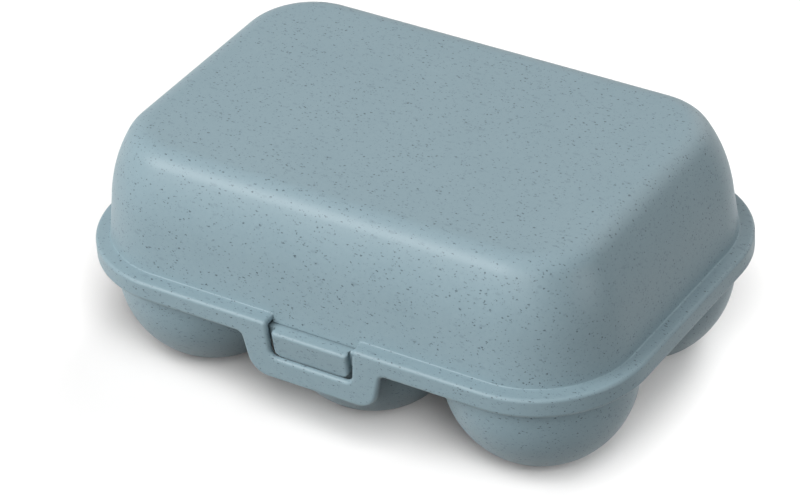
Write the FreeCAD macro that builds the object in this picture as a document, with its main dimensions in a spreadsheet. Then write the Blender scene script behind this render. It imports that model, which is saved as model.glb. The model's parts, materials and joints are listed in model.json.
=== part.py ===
import FreeCAD, Part
import Sketcher
import math
import os

# Egg box for six eggs: a tray of hemispherical cups, a domed lid hinged at the back,
# and a sprung flap on the lid's front skirt whose window snaps over a tongue on the tray.
# +X runs along the box, -Y is the front with the latch, +Z is up. The tray's feet stand on z = 0.

doc = FreeCAD.newDocument("egg_box")
sheet = doc.addObject("Spreadsheet::Sheet", "Sizes")

# Each row is a size in millimetres or degrees, or a count.
SIZES = [
    ("box_length", 154.0, "length over the lid skirt"),
    ("box_width", 106.5, "width over the lid skirt"),
    ("corner_radius", 29.0, "plan corner of the skirt"),
    ("wall", 1.7, "wall of both mouldings"),
    ("rim_top", 32.6, "height of the tray rim, on which the lid rests"),
    ("rim_depth", 4.6, "height of the turned-down tray rim"),
    ("rim_clearance", 0.6, "gap between the tray rim and the lid skirt"),
    ("cup_radius", 24.2, "outer radius of a cup"),
    ("cup_end_margin", 4.9, "from an end face of the skirt to the nearest cup"),
    ("cup_side_margin", 4.55, "from the front or rear face of the skirt to the nearest cup"),
    ("cup_columns", 3, "cups along the box"),
    ("cup_rows", 2, "cups across the box"),
    ("foot_diameter", 9.8, "flat under each cup"),
    ("cup_lip_radius", 0.8, "rounding of each cup mouth"),
    ("ledge_width", 3.75, "from the skirt face to the foot of the lid wall"),
    ("ledge_edge_radius", 1.25, "outer edge of the ledge"),
    ("ledge_root_radius", 1.2, "hollow where the lid wall meets the ledge"),
    ("skirt_depth", 4.9, "from the ledge top to the lower edge of the skirt"),
    ("wall_draft", 7.0, "lean of the lid wall from upright"),
    ("wall_straight", 12.7, "height of the straight part of the lid wall"),
    ("shoulder_radius", 40.4, "slow curve above the straight wall"),
    ("shoulder_lean", 29.7, "lean where the slow curve meets the crown curve"),
    ("crown_radius", 7.4, "tight curve into the flat crown"),
    ("crown_lap", 2.0, "width of flat crown carried by the swept wall"),
    ("flap_width", 40.2, "width of the latch flap at the skirt"),
    ("flap_drop", 11.1, "from the skirt's lower edge to the flap's lower edge"),
    ("flap_lean", 12.8, "lean of the flap's sides"),
    ("flap_corner_radius", 6.0, "lower corners of the flap"),
    ("flap_root_radius", 1.8, "hollow between the flap's sides and the skirt"),
    ("flap_ear", 0.3, "thickness of the flap's root beside its sides"),
    ("window_width", 23.4, "width of the latch window at its sill"),
    ("window_lean", 4.0, "lean of the window's sides"),
    ("window_bar", 6.5, "height of the bar below the window"),
    ("window_corner_radius", 2.2, "lower corners of the window"),
    ("tongue_side_gap", 1.0, "gap at each end of the tongue in the window"),
    ("tongue_sill_gap", 0.3, "gap between the tongue and the window sill"),
    ("tongue_recess", 0.2, "tongue face behind the flap face, at its top"),
    ("tongue_lean", 7.0, "lean of the tongue's face, inwards going down"),
    ("tongue_nose_radius", 0.9, "rounded upper edge of the tongue"),
    ("tongue_corner_radius", 2.4, "rounded lower corners of the tongue"),
    ("hinge_spacing", 62.0, "between the middles of the two hinges"),
    ("hinge_setback", 3.0, "hinge axis behind the skirt face"),
    ("hinge_drop", 0.8, "hinge axis below the skirt's lower edge"),
    ("pin_diameter", 3.0, "moulded stub pins of the hinge"),
    ("pin_clearance", 0.05, "radial running clearance of a stub pin"),
    ("pin_length", 3.0, "how far a stub pin reaches into its barrel"),
    ("barrel_diameter", 5.8, "hinge barrels on the lid"),
    ("barrel_length", 12.0, "hinge barrels on the lid"),
    ("barrel_end_gap", 0.2, "gap between a barrel and each lug"),
    ("web_height", 3.2, "height of the web that joins a barrel to the skirt"),
    ("lug_thickness", 2.2, "hinge lugs on the tray"),
    ("lug_diameter", 5.0, "rounded end of a hinge lug"),
    ("lug_root", 6.0, "length of a hinge lug under the deck"),
    ("lug_clearance", 0.4, "gap between a hinge lug and the skirt's lower edge"),
]

# Sizes that follow from the others.
DERIVED = [
    ("half_length", "box_length / 2"),
    ("half_width", "box_width / 2"),
    ("ledge_top", "rim_top + wall"),
    ("skirt_low", "ledge_top - skirt_depth"),
    ("deck_low", "rim_top - wall"),
    ("rim_inset", "wall + rim_clearance"),
    ("rim_half_length", "half_length - rim_inset"),
    ("rim_half_width", "half_width - rim_inset"),
    ("rim_corner", "corner_radius - rim_inset"),
    ("foot_radius", "foot_diameter / 2"),
    ("cup_bore", "cup_radius - wall"),
    ("cup_centre", "sqrt(cup_radius ^ 2 - foot_radius ^ 2)"),
    ("cup_pitch_x", "(box_length - 2 * (cup_end_margin + cup_radius)) / (cup_columns - 1)"),
    ("cup_pitch_y", "(box_width - 2 * (cup_side_margin + cup_radius)) / (cup_rows - 1)"),
    ("cup_first_x", "-cup_pitch_x * (cup_columns - 1) / 2"),
    ("cup_first_y", "-cup_pitch_y * (cup_rows - 1) / 2"),
    ("wall_foot", "half_length - ledge_width"),
    ("straight_inset", "wall_straight * tan(wall_draft)"),
    ("shoulder_inset", "shoulder_radius * (cos(wall_draft) - cos(shoulder_lean))"),
    ("shoulder_rise", "shoulder_radius * (sin(shoulder_lean) - sin(wall_draft))"),
    ("crown_reach", "crown_radius * cos(shoulder_lean)"),
    ("crown_rise", "crown_radius * (1 - sin(shoulder_lean))"),
    ("crown_inset", "ledge_width + straight_inset + shoulder_inset + crown_reach"),
    ("straight_top", "ledge_top + wall_straight"),
    ("shoulder_top", "straight_top + shoulder_rise"),
    ("lid_top", "shoulder_top + crown_rise"),
    ("hinge_y", "half_width + hinge_setback"),
    ("hinge_z", "skirt_low - hinge_drop"),
    ("rear_reach", "hinge_setback + barrel_diameter / 2"),
    ("middle_y", "-rear_reach / 2"),
    ("flap_low", "skirt_low - flap_drop"),
    ("flap_half", "flap_width / 2"),
    ("sill", "flap_low + window_bar"),
    ("window_half", "window_width / 2"),
    ("tongue_low", "sill + tongue_sill_gap"),
    ("tongue_half", "window_half - tongue_side_gap"),
    ("tongue_front", "half_width - tongue_recess"),
    ("tongue_setback", "(rim_top - tongue_low) * tan(tongue_lean)"),
    ("rim_inner_y", "rim_half_width - wall"),
    ("lug_top", "skirt_low - lug_clearance"),
    ("lug_offset", "barrel_length / 2 + barrel_end_gap + lug_thickness / 2"),
]
NAMES = {row[0] for row in SIZES} | {row[0] for row in DERIVED}


def fill_sheet():
    """Write the driving sizes as plain numbers and the others as formulas."""
    row = 1
    for alias, number, note in SIZES:
        sheet.set("A%d" % row, alias)
        sheet.set("B%d" % row, str(number))
        sheet.set("C%d" % row, note)
        sheet.setAlias("B%d" % row, alias)
        row += 1
    for alias, formula in DERIVED:
        sheet.set("A%d" % row, alias)
        sheet.set("B%d" % row, "=" + formula)
        sheet.setAlias("B%d" % row, alias)
        row += 1
    doc.recompute()


fill_sheet()


def bound(expression):
    """Return an expression with its sheet aliases qualified, for use outside the sheet."""
    text = ""
    word = ""
    for char in expression + " ":
        if char.isalnum() or char == "_":
            word += char
            continue
        text += "Sizes." + word if word in NAMES else word
        text += char
        word = ""
    return text.strip()


def value(expression):
    """Return the number that an expression of sheet aliases gives."""
    result = sheet.evalExpression(expression)
    return float(getattr(result, "Value", result))


def new_body(name):
    """Add a body for one moulding, centred on the box and carried back to the common frame."""
    body = doc.addObject("PartDesign::Body", name)
    body.Label = name
    body.setExpression("Placement.Base.y", bound("middle_y"))
    return body


def datum(body, role):
    """Return one of the body's own planes or axes."""
    return next(f for f in body.Origin.OriginFeatures if f.Role == role)


def new_sketch(body, name, role, across="0", up="0", out="0"):
    """Add a sketch on one of the body's own planes, moved by expressions along the plane's axes."""
    sketch = body.newObject("Sketcher::SketchObject", name)
    sketch.AttachmentSupport = [(datum(body, role), "")]
    sketch.MapMode = "FlatFace"
    for axis, expression in (("x", across), ("y", up), ("z", out)):
        if expression != "0":
            sketch.setExpression("AttachmentOffset.Base." + axis, bound(expression))
    return sketch


def dimension(sketch, kind, *parts):
    """Add a dimension to a sketch and bind it to an expression, given last."""
    expression = parts[-1]
    number = value(expression)
    if kind == "Angle":
        number = math.radians(number)
    index = sketch.addConstraint(Sketcher.Constraint(kind, *parts[:-1], number))
    sketch.setExpression("Constraints[%d]" % index, bound(expression))


def place(sketch, geometry, end, x, y):
    """Pin one end of a piece of sketch geometry at a pair of expressions."""
    dimension(sketch, "DistanceX", -1, 1, geometry, end, x)
    dimension(sketch, "DistanceY", -1, 1, geometry, end, y)


def join(sketch, *pairs):
    """Make pairs of ends meet."""
    for first, end, second, start in pairs:
        sketch.addConstraint(Sketcher.Constraint("Coincident", first, end, second, start))


def blend(sketch, *pairs):
    """Make pairs of ends meet in line with each other."""
    for first, end, second, start in pairs:
        sketch.addConstraint(Sketcher.Constraint("Tangent", first, end, second, start))


def line(sketch, x1, y1, x2, y2):
    segment = Part.LineSegment(FreeCAD.Vector(x1, y1, 0), FreeCAD.Vector(x2, y2, 0))
    return sketch.addGeometry(segment, False)


def arc(sketch, x, y, radius, first, last):
    """Draw an arc anticlockwise from one angle to another, in degrees."""
    circle = Part.Circle(FreeCAD.Vector(x, y, 0), FreeCAD.Vector(0, 0, 1), radius)
    return sketch.addGeometry(Part.ArcOfCircle(circle, math.radians(first), math.radians(last)), False)


def circle(sketch, x, y, diameter):
    """Draw a circle at a pair of expressions."""
    centre = FreeCAD.Vector(value(x), value(y), 0)
    ring = sketch.addGeometry(Part.Circle(centre, FreeCAD.Vector(0, 0, 1), value(diameter) / 2), False)
    dimension(sketch, "Diameter", ring, diameter)
    place(sketch, ring, 3, x, y)


def polygon(sketch, corners):
    """Draw a closed polygon through corners that are pairs of expressions."""
    spots = [(value(x), value(y)) for x, y in corners]
    count = len(spots)
    sides = [line(sketch, *spots[i], *spots[(i + 1) % count]) for i in range(count)]
    join(sketch, *[(sides[i - 1], 2, sides[i], 1) for i in range(count)])
    for side, (x, y) in zip(sides, corners):
        place(sketch, side, 1, x, y)


def rounded_rectangle(sketch, half_x, half_y, radius):
    """Draw a rounded rectangle about the sketch's origin."""
    a, b, r = value(half_x), value(half_y), value(radius)
    p, q = a - r, b - r
    sides = [line(sketch, a, -q, a, q), line(sketch, p, b, -p, b)]
    sides += [line(sketch, -a, q, -a, -q), line(sketch, -p, -b, p, -b)]
    turns = [arc(sketch, p, q, r, 0, 90), arc(sketch, -p, q, r, 90, 180)]
    turns += [arc(sketch, -p, -q, r, 180, 270), arc(sketch, p, -q, r, 270, 360)]
    for i in range(4):
        blend(sketch, (sides[i], 2, turns[i], 1), (turns[i], 2, sides[(i + 1) % 4], 1))
        sketch.addConstraint(Sketcher.Constraint("Horizontal" if i % 2 else "Vertical", sides[i]))
    for i in (1, 2, 3):
        sketch.addConstraint(Sketcher.Constraint("Equal", turns[0], turns[i]))
    sketch.addConstraint(Sketcher.Constraint("Symmetric", turns[0], 3, turns[2], 3, -1, 1))
    dimension(sketch, "Radius", turns[0], radius)
    dimension(sketch, "DistanceX", -1, 1, sides[0], 1, half_x)
    dimension(sketch, "DistanceY", -1, 1, sides[1], 1, half_y)


def volume(body):
    doc.recompute()
    return body.Shape.Volume


def extrude(body, kind, name, sketch, length, backward=False, both=False):
    """Pad or pocket a sketch by an expression, and see that it adds or removes material."""
    doc.recompute()
    if sketch.FullyConstrained is not True:
        raise RuntimeError("%s is not fully constrained" % sketch.Name)
    before = 0.0 if body.Shape.isNull() else body.Shape.Volume
    feature = body.newObject("PartDesign::" + kind, name)
    feature.Profile = sketch
    feature.SideType = "Symmetric" if both else "One side"
    feature.Reversed = backward
    feature.setExpression("Length", bound(length))
    after = volume(body)
    if (kind == "Pad") != (after > before) or abs(after - before) < 1e-6:
        raise RuntimeError("%s changed nothing: %s to %s" % (name, before, after))
    return feature


def turn(body, kind, name, sketch):
    """Revolve a sketch about its own upright axis, adding or cutting."""
    feature = body.newObject("PartDesign::" + kind, name)
    feature.Profile = sketch
    feature.ReferenceAxis = (sketch, ["V_Axis"])
    feature.Angle = 360.0
    doc.recompute()
    return feature


def grid(body, name, originals, columns, step, rows, row_step, row_axis):
    """Repeat features along X and along a second axis."""
    pattern = body.newObject("PartDesign::LinearPattern", name)
    pattern.Originals = originals
    pattern.Direction = (datum(body, "X_Axis"), [""])
    pattern.Mode = "Spacing"
    pattern.setExpression("Offset", bound(step))
    pattern.setExpression("Occurrences", bound(columns))
    pattern.Direction2 = (datum(body, row_axis), [""])
    pattern.Mode2 = "Spacing"
    pattern.setExpression("Offset2", bound(row_step))
    pattern.setExpression("Occurrences2", bound(rows))
    doc.recompute()
    # A spacing of -1 keeps the common step between rows.
    pattern.Spacings2 = [-1.0] * (int(value(rows)) - 1)
    body.Tip = pattern
    doc.recompute()
    return pattern


def soften(body, name, radius, chosen):
    """Round the edges of a body's tip that a test picks out."""
    tip = body.Tip
    doc.recompute()
    numbered = enumerate(tip.Shape.Edges, 1)
    edges = ["Edge%d" % i for i, edge in numbered if not edge.Degenerated and chosen(edge)]
    if not edges:
        raise RuntimeError(name + " found no edge")
    fillet = body.newObject("PartDesign::Fillet", name)
    fillet.Base = (tip, edges)
    fillet.setExpression("Radius", bound(radius))
    doc.recompute()
    return fillet


def close(a, b):
    return abs(a - b) < 1e-4


def make_tray():
    body = new_body("tray")
    sketch = new_sketch(body, "rim_outline", "XY_Plane", out="rim_top")
    rounded_rectangle(sketch, "rim_half_length", "rim_half_width", "rim_corner")
    extrude(body, "Pad", "rim", sketch, "rim_depth", backward=True)
    sketch = new_sketch(body, "deck_underside", "XY_Plane", out="deck_low")
    rounded_rectangle(sketch, "rim_half_length - wall", "rim_half_width - wall", "rim_corner - wall")
    extrude(body, "Pocket", "rim_hollow", sketch, "rim_depth")

    # Six cups: a flat foot, a hemisphere and a short upright wall into the deck.
    sketch = new_sketch(body, "cup_profile", "XZ_Plane", across="cup_first_x", out="-cup_first_y")
    r, foot = value("cup_radius"), value("foot_radius")
    centre, top = value("cup_centre"), value("deck_low")
    base = line(sketch, 0, 0, foot, 0)
    bowl = arc(sketch, 0, centre, r, -math.degrees(math.acos(foot / r)), 0)
    side = line(sketch, r, centre, r, top)
    lid = line(sketch, r, top, 0, top)
    axis = line(sketch, 0, top, 0, 0)
    join(sketch, (base, 2, bowl, 1), (side, 2, lid, 1), (lid, 2, axis, 1))
    join(sketch, (axis, 2, base, 1), (base, 1, -1, 1))
    blend(sketch, (bowl, 2, side, 1))
    for kind, item in (("Horizontal", base), ("Vertical", side), ("Horizontal", lid), ("Vertical", axis)):
        sketch.addConstraint(Sketcher.Constraint(kind, item))
    sketch.addConstraint(Sketcher.Constraint("PointOnObject", bowl, 3, -2))
    dimension(sketch, "Radius", bowl, "cup_radius")
    dimension(sketch, "DistanceX", -1, 1, base, 2, "foot_radius")
    dimension(sketch, "DistanceY", -1, 1, lid, 1, "deck_low")
    cup = turn(body, "Revolution", "cup", sketch)
    grid(body, "cups", [cup], "cup_columns", "cup_pitch_x", "cup_rows", "cup_pitch_y", "Y_Axis")

    sketch = new_sketch(body, "bore_profile", "XZ_Plane", across="cup_first_x", out="-cup_first_y")
    r, centre, top = value("cup_bore"), value("cup_centre"), value("rim_top")
    bowl = arc(sketch, 0, centre, r, -90, 0)
    side = line(sketch, r, centre, r, top)
    lid = line(sketch, r, top, 0, top)
    axis = line(sketch, 0, top, 0, centre - r)
    join(sketch, (side, 2, lid, 1), (lid, 2, axis, 1), (axis, 2, bowl, 1))
    blend(sketch, (bowl, 2, side, 1))
    for kind, item in (("Vertical", side), ("Horizontal", lid), ("Vertical", axis)):
        sketch.addConstraint(Sketcher.Constraint(kind, item))
    sketch.addConstraint(Sketcher.Constraint("PointOnObject", axis, 1, -2))
    dimension(sketch, "Radius", bowl, "cup_bore")
    place(sketch, bowl, 3, "0", "cup_centre")
    dimension(sketch, "DistanceY", -1, 1, lid, 1, "rim_top")
    before = volume(body)
    bore = turn(body, "Groove", "cup_bore_cut", sketch)
    grid(body, "cup_bores", [bore], "cup_columns", "cup_pitch_x", "cup_rows", "cup_pitch_y", "Y_Axis")
    if volume(body) > before - 1.0:
        raise RuntimeError("the cups were not hollowed")
    mouth = value("cup_bore")
    rim = value("rim_top")
    soften(
        body,
        "cup_mouths",
        "cup_lip_radius",
        lambda edge: hasattr(edge.Curve, "Radius")
        and close(edge.Curve.Radius, mouth)
        and close(edge.CenterOfMass.z, rim),
    )

    # The catch tongue: a bulge of the rim that fills the window of the latch flap.
    sketch = new_sketch(body, "tongue_outline", "XZ_Plane", out="rim_inner_y")
    shield(sketch, "tongue_half", "rim_top", "tongue_low", "tongue_corner_radius")
    extrude(body, "Pad", "tongue", sketch, "tongue_front - rim_inner_y")
    sketch = new_sketch(body, "tongue_face", "YZ_Plane")
    polygon(
        sketch,
        [
            ("-tongue_front", "rim_top"),
            ("-tongue_front - wall", "rim_top"),
            ("-tongue_front - wall", "tongue_low"),
            ("-tongue_front + tongue_setback", "tongue_low"),
        ],
    )
    extrude(body, "Pocket", "tongue_slope", sketch, "2 * (tongue_half + wall)", both=True)
    sketch = new_sketch(body, "tongue_core", "XZ_Plane", out="rim_inner_y")
    shield(sketch, "tongue_half - wall", "deck_low", "tongue_low + wall", "tongue_corner_radius - wall")
    depth = "tongue_front - tongue_setback - wall - rim_inner_y"
    extrude(body, "Pocket", "tongue_hollow", sketch, depth, backward=True)
    front = value("-tongue_front")
    soften(
        body,
        "tongue_nose",
        "tongue_nose_radius",
        lambda edge: close(edge.CenterOfMass.y, front) and close(edge.CenterOfMass.z, rim),
    )

    # Two pairs of hinge lugs under the deck, each with a stub pin that points into the lid's barrel.
    sketch = new_sketch(body, "lug_arm", "YZ_Plane", out="-hinge_spacing / 2 - lug_offset")
    polygon(
        sketch,
        [
            ("rim_half_width - lug_root", "deck_low"),
            ("rim_half_width - wall / 2", "hinge_z - lug_diameter / 2"),
            ("hinge_y", "hinge_z - lug_diameter / 2"),
            ("hinge_y", "lug_top"),
            ("rim_half_width", "lug_top"),
            ("rim_half_width - wall / 2", "deck_low"),
        ],
    )
    arm = extrude(body, "Pad", "lug", sketch, "lug_thickness", both=True)
    sketch = new_sketch(body, "lug_nose", "YZ_Plane", out="-hinge_spacing / 2 - lug_offset")
    circle(sketch, "hinge_y", "hinge_z", "lug_diameter")
    nose = extrude(body, "Pad", "lug_end", sketch, "lug_thickness", both=True)
    grid(body, "lugs", [arm, nose], "2", "2 * lug_offset", "2", "hinge_spacing", "X_Axis")
    sketch = new_sketch(body, "pin_end", "YZ_Plane", out="-hinge_spacing / 2 - lug_offset")
    circle(sketch, "hinge_y", "hinge_z", "pin_diameter")
    pin = extrude(body, "Pad", "pin", sketch, "lug_thickness / 2 + barrel_end_gap + pin_length")
    step = "2 * lug_offset - lug_thickness / 2 - barrel_end_gap - pin_length"
    grid(body, "pins", [pin], "2", step, "2", "hinge_spacing", "X_Axis")
    return body


def shield(sketch, half, top, low, radius):
    """Draw an upright plate outline with square upper and rounded lower corners."""
    a, z1, z0, r = value(half), value(top), value(low), value(radius)
    head = line(sketch, a, z1, -a, z1)
    left = line(sketch, -a, z1, -a, z0 + r)
    turn_left = arc(sketch, r - a, z0 + r, r, 180, 270)
    foot = line(sketch, r - a, z0, a - r, z0)
    turn_right = arc(sketch, a - r, z0 + r, r, 270, 360)
    right = line(sketch, a, z0 + r, a, z1)
    join(sketch, (head, 2, left, 1), (right, 2, head, 1))
    blend(sketch, (left, 2, turn_left, 1), (turn_left, 2, foot, 1))
    blend(sketch, (foot, 2, turn_right, 1), (turn_right, 2, right, 1))
    for kind, item in (("Vertical", left), ("Horizontal", foot), ("Vertical", right)):
        sketch.addConstraint(Sketcher.Constraint(kind, item))
    sketch.addConstraint(Sketcher.Constraint("Symmetric", head, 1, head, 2, -2))
    sketch.addConstraint(Sketcher.Constraint("Equal", turn_left, turn_right))
    dimension(sketch, "Radius", turn_right, radius)
    place(sketch, right, 2, half, top)
    dimension(sketch, "DistanceY", -1, 1, foot, 1, low)


def lid_section(sketch):
    """Draw the wall of the lid in section: skirt, ledge, drafted wall, shoulder and crown edge."""
    t, a, low, high = value("wall"), value("half_length"), value("skirt_low"), value("ledge_top")
    edge_r, root_r, draft = value("ledge_edge_radius"), value("ledge_root_radius"), value("wall_draft")
    r1, r2 = value("shoulder_radius"), value("crown_radius")
    lean, lap = value("shoulder_lean"), value("crown_lap")
    dx, dy = math.cos(math.radians(draft)), math.sin(math.radians(draft))
    ex, ey = math.cos(math.radians(lean)), math.sin(math.radians(lean))
    x3, y3 = value("wall_foot - straight_inset"), value("straight_top")
    xr, yr = value("wall_foot") + root_r * (1 - dy) / dx, high + root_r
    x1, y1 = x3 - r1 * dx, y3 - r1 * dy
    x2, y2 = x1 + (r1 - r2) * ex, y1 + (r1 - r2) * ey
    top, roof = y2 + r2, y2 + r2 - t

    skirt = line(sketch, a, low, a, high - edge_r)
    edge = arc(sketch, a - edge_r, high - edge_r, edge_r, 0, 90)
    ledge = line(sketch, a - edge_r, high, xr, high)
    root = arc(sketch, xr, yr, root_r, 180 + draft, 270)
    side = line(sketch, xr - root_r * dx, yr - root_r * dy, x3, y3)
    shoulder = arc(sketch, x1, y1, r1, draft, lean)
    crown = arc(sketch, x2, y2, r2, lean, 90)
    flat = line(sketch, x2, top, x2 - lap, top)
    end = line(sketch, x2 - lap, top, x2 - lap, roof)
    flat_in = line(sketch, x2 - lap, roof, x2, roof)
    crown_in = arc(sketch, x2, y2, r2 - t, lean, 90)
    shoulder_in = arc(sketch, x1, y1, r1 - t, draft, lean)
    low_in = (xr - (root_r + t) * dx, yr - (root_r + t) * dy)
    side_in = line(sketch, x1 + (r1 - t) * dx, y1 + (r1 - t) * dy, *low_in)
    root_in = arc(sketch, xr, yr, root_r + t, 180 + draft, 270)
    ledge_in = line(sketch, xr, high - t, a - t, high - t)
    skirt_in = line(sketch, a - t, high - t, a - t, low)
    foot = line(sketch, a - t, low, a, low)

    blend(sketch, (skirt, 2, edge, 1), (edge, 2, ledge, 1), (ledge, 2, root, 2), (root, 1, side, 1))
    blend(sketch, (side, 2, shoulder, 1), (shoulder, 2, crown, 1), (crown, 2, flat, 1))
    blend(sketch, (flat_in, 2, crown_in, 2), (crown_in, 1, shoulder_in, 2), (shoulder_in, 1, side_in, 1))
    blend(sketch, (side_in, 2, root_in, 1), (root_in, 2, ledge_in, 1))
    join(sketch, (flat, 2, end, 1), (end, 2, flat_in, 1), (ledge_in, 2, skirt_in, 1))
    join(sketch, (skirt_in, 2, foot, 1), (foot, 2, skirt, 1))
    join(sketch, (crown, 3, crown_in, 3), (shoulder, 3, shoulder_in, 3), (root, 3, root_in, 3))
    for item in (skirt, end, skirt_in):
        sketch.addConstraint(Sketcher.Constraint("Vertical", item))
    for item in (ledge, flat, flat_in, ledge_in, foot):
        sketch.addConstraint(Sketcher.Constraint("Horizontal", item))
    place(sketch, skirt, 1, "half_length", "skirt_low")
    place(sketch, side, 2, "wall_foot - straight_inset", "straight_top")
    dimension(sketch, "DistanceY", -1, 1, ledge, 1, "ledge_top")
    dimension(sketch, "DistanceY", -1, 1, ledge_in, 1, "rim_top")
    dimension(sketch, "DistanceX", foot, 1, foot, 2, "wall")
    dimension(sketch, "DistanceY", end, 2, end, 1, "wall")
    dimension(sketch, "DistanceX", flat, 2, flat, 1, "crown_lap")
    dimension(sketch, "Angle", side, "90 + wall_draft")
    dimension(sketch, "Radius", edge, "ledge_edge_radius")
    dimension(sketch, "Radius", root, "ledge_root_radius")
    dimension(sketch, "Radius", shoulder, "shoulder_radius")
    dimension(sketch, "Radius", crown, "crown_radius")
    dimension(sketch, "DistanceY", -1, 1, shoulder, 2, "shoulder_top")


def make_lid():
    body = new_body("lid")
    path = new_sketch(body, "skirt_line", "XY_Plane", out="skirt_low")
    rounded_rectangle(path, "half_length", "half_width", "corner_radius")
    section = new_sketch(body, "lid_section", "XZ_Plane")
    lid_section(section)
    doc.recompute()
    shell = body.newObject("PartDesign::AdditivePipe", "shell")
    shell.Profile = section
    shell.Spine = path
    doc.recompute()
    sketch = new_sketch(body, "crown_outline", "XY_Plane", out="lid_top")
    inset = "crown_inset + crown_lap / 2"
    rounded_rectangle(
        sketch,
        "half_length - (%s)" % inset,
        "half_width - (%s)" % inset,
        "corner_radius - (%s)" % inset,
    )
    extrude(body, "Pad", "crown", sketch, "wall", backward=True)

    # The upper part of the latch window opens the skirt and the ledge up to the lid wall.
    sketch = new_sketch(body, "window_head", "XZ_Plane", out="half_width + wall")
    low, high = "(skirt_low - wall)", "(ledge_top + ledge_root_radius + wall)"
    polygon(
        sketch,
        [
            ("-" + window_edge(low), low),
            (window_edge(low), low),
            (window_edge(high), high),
            ("-" + window_edge(high), high),
        ],
    )
    extrude(body, "Pocket", "window", sketch, "ledge_width + wall")

    # Two hinge barrels, each on a web from the skirt.
    sketch = new_sketch(body, "barrel_end", "YZ_Plane", out="-hinge_spacing / 2")
    circle(sketch, "hinge_y", "hinge_z", "barrel_diameter")
    barrel = extrude(body, "Pad", "barrel", sketch, "barrel_length", both=True)
    sketch = new_sketch(body, "web_side", "YZ_Plane", out="-hinge_spacing / 2")
    polygon(
        sketch,
        [
            ("half_width - wall / 2", "skirt_low"),
            ("hinge_y", "skirt_low"),
            ("hinge_y", "hinge_z + barrel_diameter / 2"),
            ("half_width - wall / 2", "skirt_low + web_height"),
        ],
    )
    web = extrude(body, "Pad", "web", sketch, "barrel_length", both=True)
    sketch = new_sketch(body, "bore_end", "YZ_Plane", out="-hinge_spacing / 2")
    circle(sketch, "hinge_y", "hinge_z", "pin_diameter + 2 * pin_clearance")
    bore = extrude(body, "Pocket", "bore", sketch, "barrel_length", both=True)
    pair = body.newObject("PartDesign::Mirrored", "hinge_pair")
    pair.Originals = [barrel, web, bore]
    pair.MirrorPlane = (datum(body, "YZ_Plane"), [""])
    body.Tip = pair
    return body


def window_edge(height):
    """Return the window's half width at a height, as an expression."""
    return "(window_half + (%s - sill) * tan(window_lean))" % height


def make_latch_flap():
    body = new_body("latch_flap")
    sketch = new_sketch(body, "flap_outline", "XZ_Plane", out="half_width")
    flap_half_outline(sketch)
    half = extrude(body, "Pad", "flap_half", sketch, "wall", backward=True)
    whole = body.newObject("PartDesign::Mirrored", "flap")
    whole.Originals = [half]
    whole.MirrorPlane = (datum(body, "YZ_Plane"), [""])
    body.Tip = whole
    return body


def flap_half_outline(sketch):
    """Draw the right half of the U-shaped flap from the front, with its window and hollow root."""
    low, high, sill, ear = value("flap_low"), value("skirt_low"), value("sill"), value("flap_ear")
    lean, tilt = value("flap_lean"), value("window_lean")
    big, small, root = value("flap_corner_radius"), value("window_corner_radius"), value("flap_root_radius")
    sx, sy = math.sin(math.radians(lean)), math.cos(math.radians(lean))
    wx, wy = math.sin(math.radians(tilt)), math.cos(math.radians(tilt))
    corner_y, root_y, inner_y = low + big, high - ear - root, sill + small
    corner_x = value("flap_half") - (high - corner_y) * sx / sy - big / sy
    root_x = value("flap_half") - (high - root_y) * sx / sy + root / sy
    inner_x = value("window_half") + small * wx / wy - small / wy
    window_x = value(window_edge("skirt_low"))

    foot = line(sketch, 0, low, corner_x, low)
    corner = arc(sketch, corner_x, corner_y, big, -90, -lean)
    side = line(sketch, corner_x + big * sy, corner_y - big * sx, root_x - root * sy, root_y + root * sx)
    hollow = arc(sketch, root_x, root_y, root, 90, 180 - lean)
    tip = line(sketch, root_x, high - ear, root_x, high)
    top = line(sketch, root_x, high, window_x, high)
    jamb = line(sketch, inner_x + small * wy, inner_y - small * wx, window_x, high)
    inner = arc(sketch, inner_x, inner_y, small, -90, -tilt)
    bar = line(sketch, inner_x, sill, 0, sill)
    middle = line(sketch, 0, sill, 0, low)

    blend(sketch, (foot, 2, corner, 1), (corner, 2, side, 1), (side, 2, hollow, 2))
    blend(sketch, (inner, 2, jamb, 1), (inner, 1, bar, 1))
    join(sketch, (hollow, 1, tip, 1), (tip, 2, top, 1), (top, 2, jamb, 2))
    join(sketch, (bar, 2, middle, 1), (middle, 2, foot, 1))
    for kind, item in (("Horizontal", foot), ("Vertical", tip), ("Horizontal", top), ("Horizontal", bar)):
        sketch.addConstraint(Sketcher.Constraint(kind, item))
    sketch.addConstraint(Sketcher.Constraint("Vertical", middle))
    sketch.addConstraint(Sketcher.Constraint("Vertical", hollow, 3, tip, 1))
    sketch.addConstraint(Sketcher.Constraint("PointOnObject", middle, 1, -2))
    dimension(sketch, "DistanceY", -1, 1, foot, 1, "flap_low")
    dimension(sketch, "DistanceY", -1, 1, top, 1, "skirt_low")
    dimension(sketch, "DistanceY", -1, 1, bar, 1, "sill")
    dimension(sketch, "DistanceY", tip, 1, tip, 2, "flap_ear")
    dimension(sketch, "Radius", corner, "flap_corner_radius")
    dimension(sketch, "Radius", hollow, "flap_root_radius")
    dimension(sketch, "Radius", inner, "window_corner_radius")
    dimension(sketch, "Angle", side, "90 - flap_lean")
    dimension(sketch, "Angle", jamb, "90 - window_lean")
    dimension(sketch, "DistanceX", -1, 1, jamb, 2, window_edge("skirt_low"))
    reach = "flap_half - (flap_ear + flap_root_radius) * tan(flap_lean) + flap_root_radius / cos(flap_lean)"
    dimension(sketch, "DistanceX", -1, 1, tip, 1, reach)


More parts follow.
